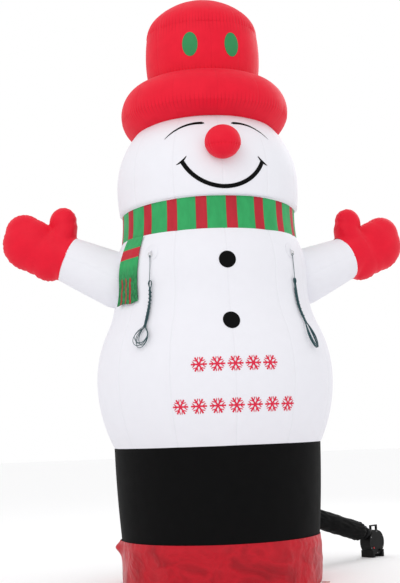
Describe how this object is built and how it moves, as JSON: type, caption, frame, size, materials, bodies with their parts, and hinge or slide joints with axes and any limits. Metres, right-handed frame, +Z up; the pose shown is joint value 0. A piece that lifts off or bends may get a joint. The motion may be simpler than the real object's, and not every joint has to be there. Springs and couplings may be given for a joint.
{
  "type": "inflatable snowman",
  "caption": "Tall inflatable snowman on a drum base, with hat, scarf, mittens, guy ropes, and a fan on the ground that feeds it through a cloth sleeve.",
  "frame": {"origin": "on the ground at the middle of the base floor", "axes": "+Z up, front of the figure towards -Y, its arms along X; left names mean the -X side"},
  "size_m": [4.1692, 2.7932, 5.9779],
  "materials": {
    "white_cloth": "coated polyester taffeta, soft sheen",
    "red_cloth": "coated polyester taffeta, soft sheen",
    "black_cloth": "coated polyester taffeta",
    "skirt_cloth": "crinkled satin-like polyester",
    "baffle_cloth": "uncoated polyester",
    "scarf_cloth": "green with sewn red stripes",
    "black_patch": "appliqued cloth",
    "green_patch": "appliqued cloth",
    "red_print": "stencilled print",
    "patch_cloth": "doubled cloth",
    "ring_steel": "welded ring",
    "rope": "braided cord",
    "webbing": "woven webbing",
    "buckle_plastic": "moulded",
    "eyelet_brass": "pressed",
    "housing_plastic": "moulded, fine texture",
    "grille_steel": "powder-coated wire",
    "impeller_plastic": "moulded",
    "motor_steel": "painted can",
    "shaft_steel": "ground",
    "screw_steel": "plated",
    "trim_plastic": "moulded",
    "rocker_plastic": "polished",
    "zip_metal": "plated"
  },
  "bodies": {
    "root": {"base_floor": "black_cloth", "lower_drum": "black_cloth", "ground_skirt": "skirt_cloth", "base_drum": "black_cloth", "body_skin": "white_cloth", "scarf_band": "scarf_cloth", "neck_baffle": "baffle_cloth", "head_skin": "white_cloth", "brim_baffle": "baffle_cloth", "brim_under": "red_cloth", "brim_top": "red_cloth", "crown_side": "red_cloth", "crown_top": "red_cloth", "nose_ball": "red_cloth", "smile": "black_patch", "eye_left": "black_patch", "eye_right": "black_patch", "hat_dot_left": "green_patch", "hat_dot_right": "green_patch", "button_upper": "black_patch", "button_lower": "black_patch", "snowflakes_upper": "red_print", "snowflakes_lower": "red_print", "tether_patches": "patch_cloth", "tether_tabs": "patch_cloth", "tether_rings": "ring_steel", "inlet_sleeve": "black_cloth", "sleeve_strap": "webbing", "strap_buckle": "buckle_plastic", "housing_front": "housing_plastic", "housing_back": "housing_plastic", "housing_screws": "screw_steel", "inlet_grille": "grille_steel", "motor": "motor_steel", "blower_feet": "housing_plastic", "carry_handle": "housing_plastic", "cord_gland": "trim_plastic", "switch_bezel": "trim_plastic", "zip_tape": "webbing", "ground_tabs": "webbing", "ground_eyelets": "eyelet_brass"},
    "impeller": {"impeller": "impeller_plastic", "motor_shaft": "shaft_steel"},
    "switch": {"switch_rocker": "rocker_plastic"},
    "zip": {"zip_slider": "zip_metal", "zip_pull": "zip_metal"},
    "arm_left": {"arm_left": "white_cloth", "mitten_left": "red_cloth"},
    "arm_right": {"arm_right": "white_cloth", "mitten_right": "red_cloth"},
    "scarf_tail": {"scarf_tail": "scarf_cloth"},
    "tether_left": {"tether_hitch_left": "rope", "tether_line_left": "rope", "tether_hank_left": "rope"},
    "tether_right": {"tether_hitch_right": "rope", "tether_line_right": "rope", "tether_hank_right": "rope"}
  },
  "joints": [
    {"name": "impeller_spin", "type": "hinge", "parent": "root", "child": "impeller", "pos_m": [2.00534, 1.46769, 0.168], "axis": [0.5906, -0.807, 0], "continuous": true},
    {"name": "switch_rock", "type": "hinge", "parent": "root", "child": "switch", "pos_m": [1.99285, 1.36623, 0.108], "axis": [0.807, 0.5906, 0], "range_deg": [0, 16]},
    {"name": "zip_slide", "type": "slide", "parent": "root", "child": "zip", "axis": [0, -0.0487, -0.9988], "range_m": [0, 0.4505]},
    {"name": "arm_left_flex", "type": "hinge", "parent": "root", "child": "arm_left", "pos_m": [-0.952, 0, 3.045], "axis": [0.225, 0.9744, 0], "range_deg": [-8, 5], "stiffness_Nm_per_rad": 80, "springref_deg": 5.73},
    {"name": "arm_right_flex", "type": "hinge", "parent": "root", "child": "arm_right", "pos_m": [0.952, 0, 3.045], "axis": [0.225, -0.9744, 0], "range_deg": [-8, 5], "stiffness_Nm_per_rad": 80, "springref_deg": 5.73},
    {"name": "scarf_tail_swing", "type": "hinge", "parent": "root", "child": "scarf_tail", "pos_m": [-0.82244, -0.41006, 3.408], "axis": [-0.4462, 0.8949, 0], "range_deg": [0, 60]},
    {"name": "tether_left_swing", "type": "hinge", "parent": "root", "child": "tether_left", "pos_m": [-0.70066, -0.70066, 3.18], "axis": [-0.7071, 0.7071, 0], "range_deg": [0, 45]},
    {"name": "tether_right_swing", "type": "hinge", "parent": "root", "child": "tether_right", "pos_m": [0.70066, -0.70066, 3.18], "axis": [-0.7071, -0.7071, 0], "range_deg": [0, 45]}
  ]
}
